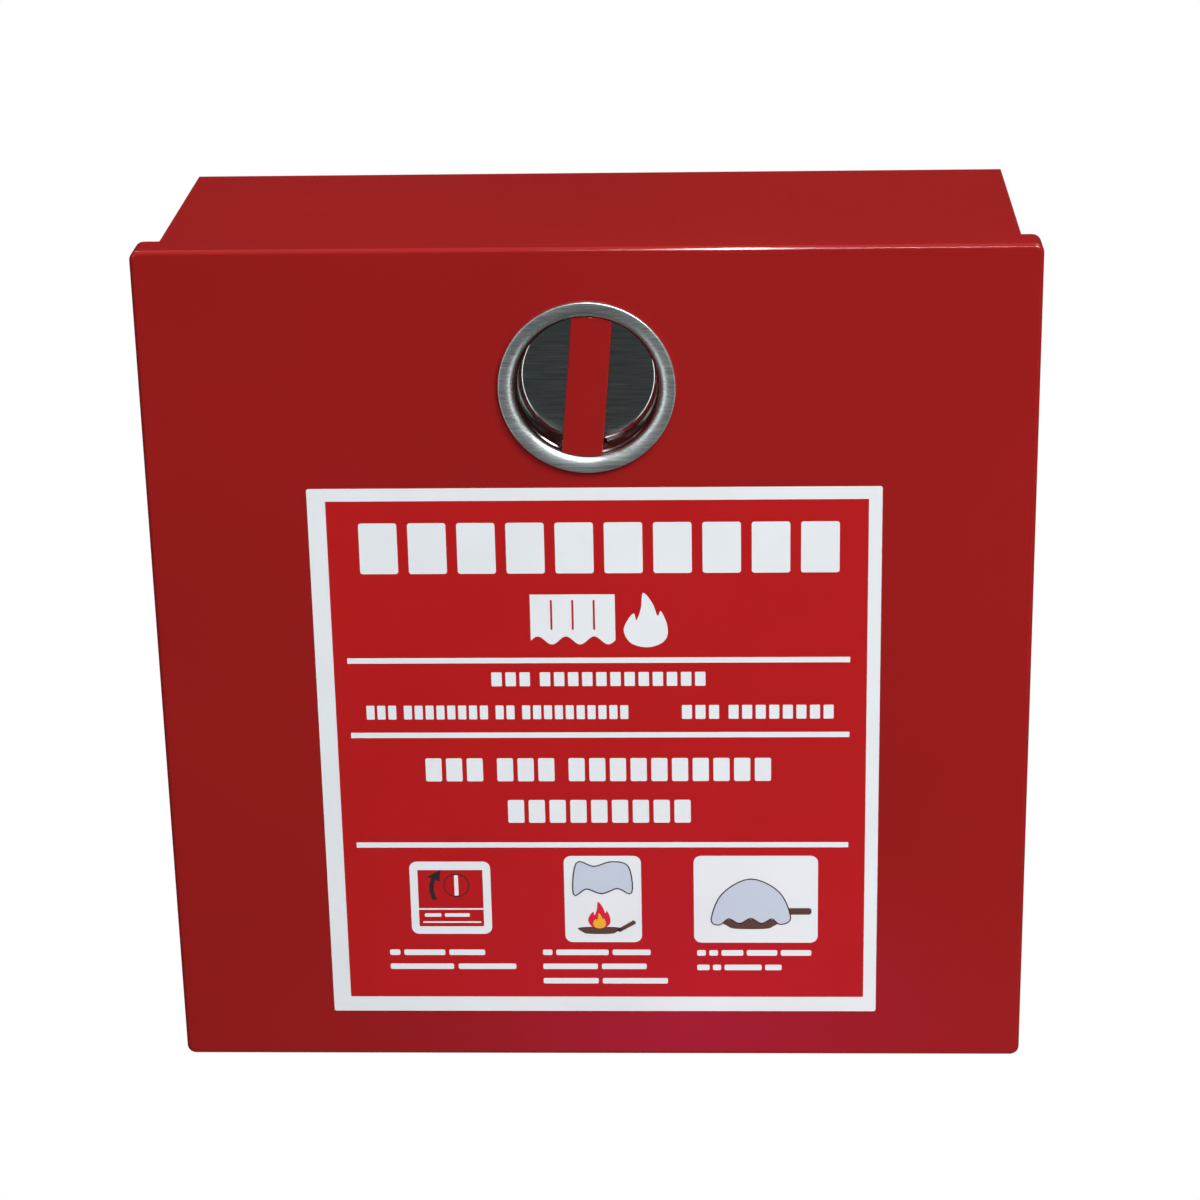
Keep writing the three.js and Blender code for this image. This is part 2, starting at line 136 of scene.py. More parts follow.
def loft(name, loops, closed=False):
    """Skins loops that have the same number of points."""
    points = [p for loop in loops for p in loop]
    piece = make_mesh(name, points, skin_faces(0, len(loops[0]), len(loops), closed))
    face_out(piece)
    return piece


def apply_modifiers(piece):
    """Replaces the mesh by what its modifiers make of it."""
    depsgraph = bpy.context.evaluated_depsgraph_get()
    made = bpy.data.meshes.new_from_object(piece.evaluated_get(depsgraph))
    piece.modifiers.clear()
    piece.data = made


def cut(piece, *cutters):
    """Cuts the cutters out of the piece and removes them."""
    for cutter in cutters:
        modifier = piece.modifiers.new("cut", "BOOLEAN")
        modifier.operation = "DIFFERENCE"
        modifier.solver = "EXACT"
        modifier.object = cutter
    apply_modifiers(piece)
    for cutter in cutters:
        bpy.data.objects.remove(cutter)


def smooth(piece, sharp=35, flat_faces=True):
    """Smooth shading that keeps edges over so many degrees sharp and, if asked, large flat
    faces flat."""
    mesh = piece.data
    large = LARGE_FACE * MM * MM
    curved = [polygon.area < large or not flat_faces for polygon in mesh.polygons]
    mesh.polygons.foreach_set("use_smooth", curved)
    mesh.set_sharp_from_angle(angle=math.radians(sharp))
    if flat_faces:
        modifier = piece.modifiers.new("flat faces", "WEIGHTED_NORMAL")
        modifier.keep_sharp = True
        modifier.weight = 90


def bevel(piece, width):
    """Rounds the edges that are sharper than 40 degrees."""
    modifier = piece.modifiers.new("edges", "BEVEL")
    modifier.width = width * MM
    modifier.segments = 2
    modifier.limit_method = "ANGLE"
    modifier.angle_limit = math.radians(40)


def on_circle(centre_a, centre_b, radius, degrees):
    """One point of a circle."""
    angle = math.radians(degrees)
    return centre_a + radius * math.cos(angle), centre_b + radius * math.sin(angle)


def arc(centre_a, centre_b, radius, start, end, steps):
    """Points on an arc, with its ends, from start to end in degrees."""
    return [
        on_circle(centre_a, centre_b, radius, start + (end - start) * i / steps)
        for i in range(steps + 1)
    ]


def quarter_bend(radius, steps):
    """(inset, rise) round a quarter circle, from a flat front to a side."""
    return arc(radius, radius, radius, 270, 180, steps)


def rounded_rectangle(half_x, half_z, radius, x=0.0, z=0.0, steps=8):
    """Corner arcs of a rectangle in the plane of the door, anticlockwise from the right."""
    points = []
    for quarter, (side_x, side_z) in enumerate(((1, 1), (-1, 1), (-1, -1), (1, -1))):
        corner_x = x + side_x * (half_x - radius)
        corner_z = z + side_z * (half_z - radius)
        points += arc(corner_x, corner_z, radius, 90 * quarter, 90 * quarter + 90, steps)
    return points


def turned(name, profile, segments, x=0.0, y=0.0, z=0.0, axis="Y", closed=True):
    """Turns a profile of (radius, distance along the axis) about Y or Z through x, y, z."""
    loops = []
    for radius, along in profile:
        ring = arc(0, 0, radius, 0, 360, segments)[:-1]
        if axis == "Y":
            loops.append([(x + a, y + along, z + b) for a, b in ring])
        else:
            loops.append([(x + a, y + b, z + along) for a, b in ring])
    return loft(name, loops, closed=closed)


def refined(node, name, edge):
    """A copy of a CAD node's shape with clean faces and rounded edges."""
    same_point = 2e-6  # metres
    same_plane = math.radians(0.8)
    work = bmesh.new()
    work.from_mesh(frame["nodes"][node].data)
    bmesh.ops.remove_doubles(work, verts=work.verts, dist=same_point)
    bmesh.ops.dissolve_limit(work, angle_limit=same_plane, verts=work.verts, edges=work.edges)
    mesh = bpy.data.meshes.new(name)
    work.to_mesh(mesh)
    work.free()
    if "custom_normal" in mesh.attributes:
        mesh.attributes.remove(mesh.attributes["custom_normal"])
    piece = bpy.data.objects.new(name, mesh)
    bpy.context.scene.collection.objects.link(piece)
    bevel(piece, edge)
    apply_modifiers(piece)
    smooth(piece)
    return piece


def lay_uv(piece, places):
    """Gives each point its place on the cloth, in metres."""
    layer = piece.data.uv_layers.new(name="weave")
    for loop in piece.data.loops:
        layer.data[loop.index].uv = places[loop.vertex_index]


def place(piece, body, slot, material, *nodes):
    """Gives a piece its material and body, and lets it stand for CAD nodes. The slot is not used."""
    piece.data.materials.clear()
    piece.data.materials.append(material)
    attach(piece, body)
    if nodes:
        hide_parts(*nodes)
    return piece


# ---------------------------------------------------------------- measures

DOOR_LOW, DOOR_HIGH = node_box("door_panel")
DOOR_FRONT = DOOR_LOW.y
DOOR_HALF = (DOOR_HIGH.x - DOOR_LOW.x) / 2
SHEET = 1.0  # thickness of the steel
DOOR_CORNER = 3.2
DOOR_BEND = 1.6  # outer radius between the front and the flange

BOWL_LOW, BOWL_HIGH = node_box("latch_bowl")
LATCH_Z = (BOWL_LOW.z + BOWL_HIGH.z) / 2
BOWL_RIM_RADIUS = (BOWL_HIGH.x - BOWL_LOW.x) / 2
BOWL_DEPTH = 13.5  # from the door's front to the bowl's floor
RIM_PROUD = 1.4  # how far its rim stands in front of the door
RIM_OUTSIDE = 29.2  # outer radius of the rim's face
MOUTH = 24.1  # radius where the lip ends
LIP_DEPTH = 3.2  # how far the lip rolls back
FLAT_FLOOR = 21.7  # radius of the floor inside its curve into the wall
BAR_LEAN = 5  # degrees that the turn bar leans past upright at rest


# ---------------------------------------------------------------- material helpers


def new_material(name, colour, roughness, **sockets):
    """A material whose uniform values sit on the shader's own sockets."""
    material = bpy.data.materials.new(name)
    material.use_nodes = True
    shader = material.node_tree.nodes["Principled BSDF"]
    shader.inputs["Base Color"].default_value = (*colour, 1)
    shader.inputs["Roughness"].default_value = roughness
    for socket, value in sockets.items():
        shader.inputs[socket.replace("_", " ")].default_value = value
    return material


class Nodes:
    """Adds nodes to a material or world in short lines."""

    def __init__(self, owner):
        self.tree = owner.node_tree
        self.shader = self.tree.nodes.get("Principled BSDF")

    def add(self, kind, settings=None, **values):
        """A node with its settings and the values of its sockets."""
        node = self.tree.nodes.new("ShaderNode" + kind)
        for setting, value in (settings or {}).items():
            setattr(node, setting, value)
        for socket, value in values.items():
            node.inputs[socket.replace("_", " ")].default_value = value
        return node

    def link(self, output, target):
        self.tree.links.new(output, target)

    def where(self, space):
        """Unchanged texture coordinates."""
        return self.add("TexCoord").outputs[space]

    def coordinates(self, stretch=(1, 1, 1), space="Object", start=(0, 0, 0)):
        """Texture coordinates that are stretched and then moved by start."""
        mapping = self.add("Mapping", Location=start, Scale=stretch)
        self.link(self.where(space), mapping.inputs["Vector"])
        return mapping.outputs["Vector"]

    def split(self, vector):
        """The X, Y and Z outputs of a vector."""
        node = self.add("SeparateXYZ")
        self.link(vector, node.inputs["Vector"])
        return node.outputs

    def noise(self, vector, scale, detail=2.0, roughness=0.5):
        node = self.add("TexNoise", Scale=scale, Detail=detail, Roughness=roughness)
        self.link(vector, node.inputs["Vector"])
        return node.outputs["Fac"]

    def ramp(self, factor, *stops):
        """A colour ramp from (position, colour) stops."""
        node = self.add("ValToRGB")
        elements = node.color_ramp.elements
        while len(elements) < len(stops):
            elements.new(0.5)
        for element, (position, colour) in zip(elements, stops):
            element.position = position
            element.color = (*colour, 1)
        self.link(factor, node.inputs["Fac"])
        return node.outputs["Color"]

    def span(self, value, low, high, start=0.1, end=0.9):
        """Maps start..end, by default about a noise's whole range, to low..high."""
        node = self.add("MapRange", From_Min=start, From_Max=end, To_Min=low, To_Max=high)
        self.link(value, node.inputs["Value"])
        return node.outputs["Result"]

    def fill(self, socket, value):
        """Sets a socket to a number or links an output to it."""
        if isinstance(value, (int, float)):
            socket.default_value = value
        else:
            self.link(value, socket)

    def math(self, operation, *values):
        """The result of an operation on numbers or outputs."""
        node = self.add("Math", {"operation": operation})
        for socket, value in zip(node.inputs, values):
            self.fill(socket, value)
        return node.outputs[0]

    def choose(self, factor, unset, chosen):
        """One of two strengths, by a factor of 0 or 1."""
        node = self.add("Mix")
        self.link(factor, node.inputs["Factor"])
        self.fill(node.inputs["A"], unset)
        self.fill(node.inputs["B"], chosen)
        return node.outputs["Result"]

    def multiplied(self, first, second):
        """The product of two colours."""
        node = self.add("Mix", {"data_type": "RGBA", "blend_type": "MULTIPLY"}, Factor=1.0)
        colours = [socket for socket in node.inputs if socket.type == "RGBA"]
        self.link(first, colours[0])
        self.link(second, colours[1])
        return next(socket for socket in node.outputs if socket.type == "RGBA")

    def colour(self, output):
        self.link(output, self.shader.inputs["Base Color"])

    def roughness(self, output):
        self.link(output, self.shader.inputs["Roughness"])

    def bump(self, height, strength, distance):
        """Relief, with its distance in millimetres."""
        node = self.add("Bump", Strength=strength, Distance=distance * MM)
        self.link(height, node.inputs["Height"])
        self.link(node.outputs["Normal"], self.shader.inputs["Normal"])

    def surface(self, shader):
        """Shows a shader on a material that has no other."""
        output = self.add("OutputMaterial")
        self.link(shader.outputs[0], output.inputs["Surface"])


def scaled(colour, factor):
    """A colour made lighter or darker."""
    return tuple(c * factor for c in colour)


# ---------------------------------------------------------------- materials

PAINT_RED = (0.288, 0.0098, 0.0092)
LABEL_RED = (0.43, 0.0098, 0.0105)
LABEL_WHITE = (0.755, 0.79, 0.82)


def red_paint():
    """Semi-gloss powder coat: a faint orange peel and a slight drift of colour."""
    material = new_material("red_paint", PAINT_RED, 0.09, IOR=1.5)
    nodes = Nodes(material)
    where = nodes.coordinates()
    drift = nodes.noise(where, 9, 3)
    nodes.colour(nodes.ramp(drift, (0.1, scaled(PAINT_RED, 0.92)), (0.9, scaled(PAINT_RED, 1.08))))
    nodes.roughness(nodes.span(nodes.noise(where, 60, 3), 0.06, 0.12))
    nodes.bump(nodes.noise(where, 420, 2), 0.06, 0.05)
    return material


def print_ink(name, colour):
    """Ink on vinyl film, with a fine screen grain and a little unevenness."""
    material = new_material(name, colour, 0.22, IOR=1.48)
    nodes = Nodes(material)
    where = nodes.coordinates()
    drift = nodes.noise(where, 30, 4)
    nodes.colour(nodes.ramp(drift, (0.1, scaled(colour, 0.95)), (0.9, scaled(colour, 1.05))))
    nodes.roughness(nodes.span(nodes.noise(where, 110, 3), 0.15, 0.29))
    nodes.bump(nodes.noise(where, 800, 2), 0.05, 0.02)
    return material


def stainless(colour):
    """Stainless steel brushed along X: satin on the rim, smoother below, with painted shade that darkens
    the lip and the wall.
    """
    material = new_material("stainless", colour, 0.4, Metallic=1.0)
    nodes = Nodes(material)
    grain = nodes.noise(nodes.coordinates((60, 2300, 2300)), 1.0, 4, 0.65)
    cloud = nodes.noise(nodes.coordinates(), 60, 3)
    # the depth in the bowl: 0 at the rim, 1 at the floor
    rim, bottom = (DOOR_FRONT - RIM_PROUD) * MM, (DOOR_FRONT + BOWL_DEPTH) * MM
    depth = nodes.span(nodes.split(nodes.where("Object"))["Y"], 0, 1, rim, bottom)
    brushed = nodes.ramp(grain, (0.28, scaled(colour, 0.6)), (0.72, scaled(colour, 1.35)))
    # painted shade: the lip and the wall inside the recess are darkened, while the rim and the floor
    # keep the steel's colour
    bright, shaded_wall = (1, 1, 1), (0.42, 0.4, 0.385)
    shade = nodes.ramp(depth, (0.06, bright), (0.2, shaded_wall), (0.86, shaded_wall), (0.93, bright))
    nodes.colour(nodes.multiplied(brushed, shade))
    coarse = nodes.span(depth, 0.38, 0.13, 0.06, 0.26)
    uneven = nodes.math("ADD", nodes.span(grain, -0.06, 0.06), nodes.span(cloud, -0.03, 0.03))
    nodes.roughness(nodes.math("ADD", coarse, uneven))
    nodes.bump(grain, 0.2, 0.03)
    return material


def zinc_plate():
    """Bright zinc plating: pale, slightly blue and a little cloudy."""
    colour = (0.56, 0.59, 0.61)
    material = new_material("zinc_plate", colour, 0.3, Metallic=1.0)
    nodes = Nodes(material)
    cloud = nodes.noise(nodes.coordinates(), 210, 3, 0.5)
    nodes.colour(nodes.ramp(cloud, (0.25, scaled(colour, 0.8)), (0.75, scaled(colour, 1.15))))
    nodes.roughness(nodes.span(cloud, 0.33, 0.41, 0.25, 0.75))
    nodes.bump(nodes.noise(nodes.coordinates(), 320, 3), 0.12, 0.02)
    return material


def woven(name, colour, pitch, roughness, sheen, depth):
    """Plain weave along the piece's own UV, which is in metres. Threads lie a pitch apart, in
    millimetres."""
    material = new_material(name, colour, roughness, Sheen_Weight=sheen, Sheen_Roughness=0.5)
    nodes = Nodes(material)
    turns = 1 / (2 * pitch * MM)
    thread = nodes.split(nodes.coordinates((turns, turns, turns), "UV"))
    across = nodes.math("SINE", nodes.math("MULTIPLY", thread["X"], math.tau))
    along = nodes.math("SINE", nodes.math("MULTIPLY", thread["Y"], math.tau))
    height = nodes.math("MULTIPLY", across, along)
    patchy = nodes.noise(nodes.coordinates(), 14, 4, 0.6)
    shade = nodes.math("ADD", nodes.math("MULTIPLY", height, 0.16), patchy)
    nodes.colour(nodes.ramp(shade, (0.05, scaled(colour, 0.7)), (0.95, scaled(colour, 1.16))))
    nodes.roughness(nodes.span(patchy, roughness - 0.06, roughness + 0.04))
    nodes.bump(height, 0.7, depth)
    return material


def sewing_thread():
    """Twisted sewing thread, a little uneven."""
    colour = (0.55, 0.53, 0.50)
    material = new_material("white_thread", colour, 0.8, Sheen_Weight=0.3)
    nodes = Nodes(material)
    twist = nodes.noise(nodes.coordinates(), 900, 3)
    nodes.colour(nodes.ramp(twist, (0.2, scaled(colour, 0.75)), (0.8, scaled(colour, 1.15))))
    nodes.roughness(nodes.span(twist, 0.7, 0.88))
    nodes.bump(twist, 0.4, 0.05)
    return material


PAINT = red_paint()
INK_WHITE = print_ink("ink_white", LABEL_WHITE)
INK_RED = print_ink("ink_red", LABEL_RED)
INK_BLACK = print_ink("ink_black", (0.022, 0.020, 0.022))
INK_CLOTH = print_ink("ink_cloth", (0.52, 0.58, 0.68))
INK_PAN = print_ink("ink_pan", (0.085, 0.050, 0.036))
INK_FLAME = print_ink("ink_flame", (0.62, 0.018, 0.040))
INK_YELLOW = print_ink("ink_yellow", (0.80, 0.42, 0.030))
STAINLESS = stainless((0.60, 0.655, 0.655))
ZINC = zinc_plate()
GLASS_CLOTH = woven("glass_cloth", (0.66, 0.64, 0.58), 1.1, 0.78, 0.25, 0.25)
WEBBING = woven("black_webbing", (0.018, 0.018, 0.020), 1.4, 0.85, 0.2, 0.3)
THREAD = sewing_thread()


# ---------------------------------------------------------------- door

RIVET_PLACES = ("left_outer", "left_inner", "right_inner", "right_outer")
RIVET_NODES = {
    body: [f"rivet_{body}_{spot}" for spot in RIVET_PLACES] for body in ("cabinet", "door")
}


def pan_side(half, corner, bend, front, back):
    """Loops of one face of a pan, from its flat front round the bend to its rim."""
    smallest_corner = 0.4
    sections = [
        (half - inset, max(corner - inset, smallest_corner), front + rise)
        for inset, rise in quarter_bend(bend, 8)
    ]
    sections.append((half, corner, back))
    return [
        [(x, y, z) for x, z in rounded_rectangle(size, size, radius)]
        for size, radius, y in sections
    ]


def door_skin():
    """The flap: a pan with a flange all round, bored for the latch and the hinge rivets."""
    inside, rim = DOOR_HALF - SHEET, 0.25  # rim: the rounding of the flange's edge
    back = DOOR_HIGH.y - rim
    outer = pan_side(DOOR_HALF, DOOR_CORNER, DOOR_BEND, DOOR_FRONT, back)
    inner = pan_side(inside, DOOR_CORNER - SHEET, DOOR_BEND - SHEET, DOOR_FRONT + SHEET, back)
    ends = [
        [(x, DOOR_HIGH.y, z) for x, z in rounded_rectangle(size, size, DOOR_CORNER - rim)]
        for size in (DOOR_HALF - rim, inside + rim)
    ]
    skin = loft("door_skin", outer + ends + inner[::-1])
    bowl_hole, rivet_hole = BOWL_RIM_RADIUS - 2.8, 1.7
    through_front = [(bowl_hole, -2), (bowl_hole, 3)]
    through_flange = [(rivet_hole, -4), (rivet_hole, 4)]
    holes = [turned("hole", through_front, FINE, y=DOOR_FRONT, z=LATCH_Z, closed=False)]
    for node in RIVET_NODES["door"]:
        middle = node_middle(node)
        holes.append(turned("hole", through_flange, ROUND, *middle, axis="Z", closed=False))
    cut(skin, *holes)
    smooth(skin)
    return place(skin, "door", "red_paint", PAINT, "door_panel")


# ---------------------------------------------------------------- label

LABEL_LOW, LABEL_HIGH = node_box("door_label")
LABEL_WIDTH = LABEL_HIGH.x - LABEL_LOW.x
LABEL_HEIGHT = LABEL_HIGH.z - LABEL_LOW.z
FILM = 0.16  # thickness of the vinyl
INK = 0.02  # thickness of one printed layer

# Places on the label are in millimetres from its bottom left corner.
FIELD = (6.2, LABEL_WIDTH - 4.5, 5.8, LABEL_HEIGHT - 4.5)  # left, right, bottom, top
RULE_ENDS = (11.0, 183.7)
RULE_HEIGHTS = (136.2, 108.2, 66.0)
BLOCK_ROWS = (  # left, right, bottom, top, letters in each word, gap, corner radius
    (17.0, 179.8, 168.2, 186.6, (10,), 0.28, 0.9),
    (60.5, 134.2, 126.6, 131.8, (3, 12), 0.35, 0.35),
    (16.8, 107.5, 114.2, 119.4, (3, 8, 2, 10), 0.35, 0.35),
    (126.0, 178.2, 114.2, 119.4, (3, 8), 0.35, 0.35),
    (36.5, 156.7, 90.6, 99.4, (3, 3, 10), 0.28, 0.6),
    (64.8, 128.7, 74.6, 83.4, (9,), 0.28, 0.6),
)
CAPTION_ROWS = (  # left, right, middle, word lengths
    (21.0, 55.0, 23.6, (2, 8, 7)),
    (21.0, 66.0, 18.0, (11, 10)),
    (75.6, 114.0, 23.6, (2, 11, 8)),
    (75.6, 112.5, 18.0, (11, 9)),
    (75.6, 120.0, 12.2, (11, 13)),
    (130.5, 171.0, 23.4, (2, 2, 5, 7, 7)),
    (130.5, 160.5, 17.6, (3, 2, 9, 4)),
)
PANELS = (  # left, right, bottom, top
    (29.2, 57.8, 31.0, 59.5),
    (83.8, 111.0, 27.7, 61.7),
    (129.5, 173.2, 27.5, 61.7),
)


def film_layer(name, outlines, layer, material, thickness=INK):
    """Flat shapes printed on the label. An outline's points are (x, z) from the label's
    bottom left corner; layer counts up from the film."""
    back = DOOR_FRONT - FILM - layer * INK
    points, faces = [], []
    for outline in outlines:
        faces += skin_faces(len(points), len(outline), 2)
        for y in (back - thickness, back):
            points += [(LABEL_LOW.x + x, y, LABEL_LOW.z + z) for x, z in outline]
    piece = make_mesh(name, points, faces)
    face_out(piece)
    return place(piece, "door", "label_vinyl", material)


def bar(left, right, bottom, top, radius):
    """A plain printed bar."""
    half_x, half_z = (right - left) / 2, (top - bottom) / 2
    return rounded_rectangle(half_x, half_z, radius, left + half_x, bottom + half_z, 4)


def block_row(left, right, bottom, top, words, gap, radius):
    """Plain blocks standing for big letters, in words of so many letters each. The gap between
    letters and the space between words are shares of a block's width."""
    letters, space = sum(words), 0.6
    unit = (right - left) / (letters + gap * (letters - 1) + space * (len(words) - 1))
    blocks, at = [], left
    for word in words:
        for _ in range(word):
            blocks.append(bar(at, at + unit, bottom, top, radius))
            at += unit * (1 + gap)
        at += unit * space
    return blocks


def word_row(left, right, bottom, top, words):
    """Plain bars standing for small words of those lengths."""
    space = 0.8
    unit = (right - left) / (sum(words) + space * (len(words) - 1))
    bars, at = [], left
    for word in words:
        bars.append(bar(at, at + unit * word, bottom, top, min(0.6, (top - bottom) / 3)))
        at += unit * (word + space)
    return bars


def curve_outline(*knots, steps=10):
    """A closed outline through knots (x, z), rounded by a Catmull-Rom curve."""
    count = len(knots)
    points = []
    for i in range(count):
        before, start, end, after = (Vector(knots[(i + k) % count]) for k in (-1, 0, 1, 2))
        for step in range(steps):
            t = step / steps
            points.append(tuple(0.5 * (
                2 * start + (end - before) * t
                + (2 * before - 5 * start + 4 * end - after) * t * t
                + (3 * start - before - 3 * end + after) * t ** 3)))
    return points


def shifted(outline, x, z, size):
    """An outline made size times as big and moved to x, z."""
    return [(x + a * size, z + b * size) for a, b in outline]


def flame(x, z, height):
    """A plain flame, drawn in a unit square standing on its base."""
    shape = curve_outline(
        (0.50, 0.00), (0.24, 0.08), (0.12, 0.30), (0.20, 0.52), (0.30, 0.62), (0.34, 0.50),
        (0.42, 0.72), (0.46, 1.00), (0.62, 0.80), (0.70, 0.58), (0.76, 0.66), (0.86, 0.42),
        (0.86, 0.20), (0.74, 0.06))
    return shifted(shape, x - 0.5 * height, z, height)


def pan(x, z, width):
    """A frying pan from the side: a shallow bowl and a slanted handle."""
    bowl = curve_outline((-0.50, 0.16), (-0.40, 0.05), (-0.25, 0.00), (0.25, 0.00),
                         (0.40, 0.05), (0.50, 0.16), (0.0, 0.19), steps=6)
    handle = [(0.42, 0.12), (0.80, 0.36), (0.85, 0.33), (0.86, 0.27), (0.47, 0.04)]
    return [shifted(shape, x, z, width) for shape in (bowl, handle)]


def outlined(outline, width):
    """The outline grown by a line's width."""
    count = len(outline)
    pairs = [(outline[i], outline[(i + 1) % count]) for i in range(count)]
    anticlockwise = sum(a[0] * b[1] - b[0] * a[1] for a, b in pairs) > 0
    outwards = width if anticlockwise else -width
    grown = []
    for i in range(count):
        before, here, after = (Vector(outline[(i + k) % count]) for k in (-1, 0, 1))
        along = (after - before).normalized()
        grown.append(tuple(here + Vector((along.y, -along.x)) * outwards))
    return grown


def arrow_arc(x, z, radius, start, end, width):
    """A curved arrow, clockwise from start to end in degrees."""
    outer = arc(x, z, radius + width / 2, start, end, 16)
    inner = arc(x, z, radius - width / 2, end, start, 16)
    barb, reach = 1.5 * width, 28  # half the head's width, and its length in degrees
    head = [
        on_circle(x, z, radius + barb, end),
        on_circle(x, z, radius, end - reach),
        on_circle(x, z, radius - barb, end),
    ]
    return outer + head + inner


def label():
    """The sticker: a white film, a red field, and plain shapes where it is lettered."""
    half_x, half_z = LABEL_WIDTH / 2, LABEL_HEIGHT / 2
    film = rounded_rectangle(half_x, half_z, 0.8, half_x, half_z)
    sheet = film_layer("label_film", [film], 0, INK_WHITE, FILM - INK)
    for vertex in sheet.data.vertices:
        vertex.co.y += (FILM - INK) * MM
    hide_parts("door_label")
    film_layer("label_field", [bar(*FIELD, 0.3)], 0, INK_RED)

    rule, caption = 1.0, 1.1  # half of their heights
    white = [bar(*RULE_ENDS, middle - rule, middle + rule, 0.2) for middle in RULE_HEIGHTS]
    for row in BLOCK_ROWS:
        white += block_row(*row)
    for left, right, middle, words in CAPTION_ROWS:
        white += word_row(left, right, middle - caption, middle + caption, words)
    white += symbol()
    white += [bar(*panel, 2.6) for panel in PANELS]
    film_layer("label_print_white", white, 1, INK_WHITE)
    red = [bar(32.0, 55.0, 34.0, 56.2, 0.2)]  # the ground of the first panel
    fold = 0.35  # half the width of a crease in the symbol's cloth
    red += [bar(x - fold, x + fold, 147.5, 158.5, 0.3) for x in (81.7, 89.0, 96.3)]
    film_layer("label_print_red", red, 2, INK_RED)
    knob_panel()
    cover_panel()
    covered_panel()


def symbol():
    """A plain sign: a cloth with a wavy hem, and a flame beside it."""
    left, right, top, hem = 74.5, 103.5, 160.5, 143.6
    waves, swing, steps = 3, 1.5, 36
    wavy = [
        (left + (right - left) * i / steps, hem + swing * math.sin(waves * math.tau * i / steps))
        for i in range(steps + 1)
    ]
    return [[(right, top), (left, top)] + wavy, flame(114.0, 141.0, 20.0)]


def knob_panel():
    """How to open: the turn latch and a clockwise arrow, over two lines and two words."""
    ring, disc = (arc(45.6, 50.2, radius, 0, 360, 40)[:-1] for radius in (4.6, 4.2))
    film_layer("label_print_ring", [ring], 3, INK_BLACK)
    film_layer("label_print_disc", [disc], 4, INK_RED)
    knob = bar(44.9, 46.3, 46.2, 54.2, 0.3)
    lines = [bar(32.0, 55.0, 40.6, 41.2, 0.1), bar(33.4, 54.0, 35.4, 36.0, 0.1)]
    words = word_row(34.0, 50.0, 37.8, 39.2, (4, 6))
    film_layer("label_print_knob", [knob, *lines, *words], 5, INK_WHITE)
    film_layer("label_print_arrow", [arrow_arc(46.4, 49.0, 9.6, 208, 158, 1.6)], 3, INK_BLACK)


def cloth_shape(shape, name, layer):
    """A grey cloth with a black edge."""
    line = 0.45
    film_layer(name + "_edge", [outlined(shape, line)], layer, INK_BLACK)
    film_layer(name, [shape], layer + 1, INK_CLOTH)


def cover_panel():
    """How to use: the cloth is lowered over a burning pan."""
    film_layer("label_print_pan_1", pan(96.0, 31.0, 15.0), 2, INK_PAN)
    film_layer("label_print_flame_1", [flame(96.0, 33.2, 10.5)], 3, INK_FLAME)
    film_layer("label_print_flame_2", [flame(96.0, 33.2, 6.0)], 4, INK_YELLOW)
    cloth = curve_outline((87.2, 46.8), (91.6, 49.0), (97.0, 47.2), (102.6, 49.2), (107.4, 47.4),
                          (106.4, 57.4), (100.6, 59.2), (94.4, 57.4), (88.4, 58.8), steps=5)
    cloth_shape(cloth, "label_print_cloth_1", 5)


def covered_panel():
    """How to leave it: the cloth lies over the pan, with only its handle showing."""
    handle = bar(158.0, 171.0, 38.6, 41.2, 1.0)
    film_layer("label_print_pan_2", [pan(149.5, 33.0, 20.0)[0], handle], 2, INK_PAN)
    cloth = curve_outline((135.8, 36.8), (139.6, 46.6), (149.4, 52.4), (159.4, 47.4),
                          (163.4, 37.4), (160.0, 35.0), (157.0, 37.2), (153.4, 35.4),
                          (149.6, 37.4), (145.6, 35.4), (141.8, 37.2), (138.4, 34.8), steps=5)
    cloth_shape(cloth, "label_print_cloth_2", 3)


# ---------------------------------------------------------------- latch


def rim_face():
    """The rim's face from its edge inwards, which rolls over into the mouth, slowly at first."""
    steps, bulge = 24, 2 / 2.6
    width = RIM_OUTSIDE - MOUTH
    points = []
    for i in range(steps + 1):
        turn = math.radians(90 * i / steps)
        inward = math.sin(turn) ** bulge
        drop = 1 - max(math.cos(turn), 0) ** bulge
        points.append((RIM_OUTSIDE - width * inward, LIP_DEPTH * drop - RIM_PROUD))
    return points


def bowl_wall():
    """Below the lip: a small step, a tapered wall and the curve into the floor."""
    start = LIP_DEPTH - RIM_PROUD + 0.2
    step, length, steps = 0.7, 0.85, 8  # the small step's width and depth, and its points
    points = []
    for i in range(steps + 1):
        part = i / steps
        points.append((MOUTH - step * part * part * (3 - 2 * part), start + length * part))
    points.append((MOUTH - step - 0.1, 6.0))
    curve = 1.5  # radius between the wall and the floor
    return points + arc(FLAT_FLOOR, BOWL_DEPTH - curve, curve, 4, 90, 10)


def bowl_radius(depth):
    """The bowl's inside radius at a depth behind the door's front."""
    inside = rim_face() + bowl_wall()
    for (wide, above), (narrow, below) in zip(inside, inside[1:]):
        if above <= depth <= below:
            return wide + (narrow - wide) * (depth - above) / max(below - above, 0.001)
    return inside[-1][0]


def bowl_profile():
    """The bowl's closed section, as radius and depth behind the door's front."""
    hole, bottom, rim_back = 4.6, BOWL_DEPTH + 1.15, -0.15
    rounding, curve = 0.45, 2.7  # radii at the rim's edge and behind the floor's corner
    edge = arc(RIM_OUTSIDE, rounding - RIM_PROUD, rounding, 285, 360, 5)
    behind = [(BOWL_RIM_RADIUS, rim_back), (26.6, rim_back), (26.2, rim_back + 0.6),
              (25.9, rim_back + 2.2), (25.0, 6.0)]
    behind += arc(FLAT_FLOOR + 0.2, bottom - curve, curve, 8, 90, 10)
    behind += [(hole, bottom - 0.15), (hole, BOWL_DEPTH), (12.0, BOWL_DEPTH)]
    return edge + behind + (rim_face() + bowl_wall())[::-1]


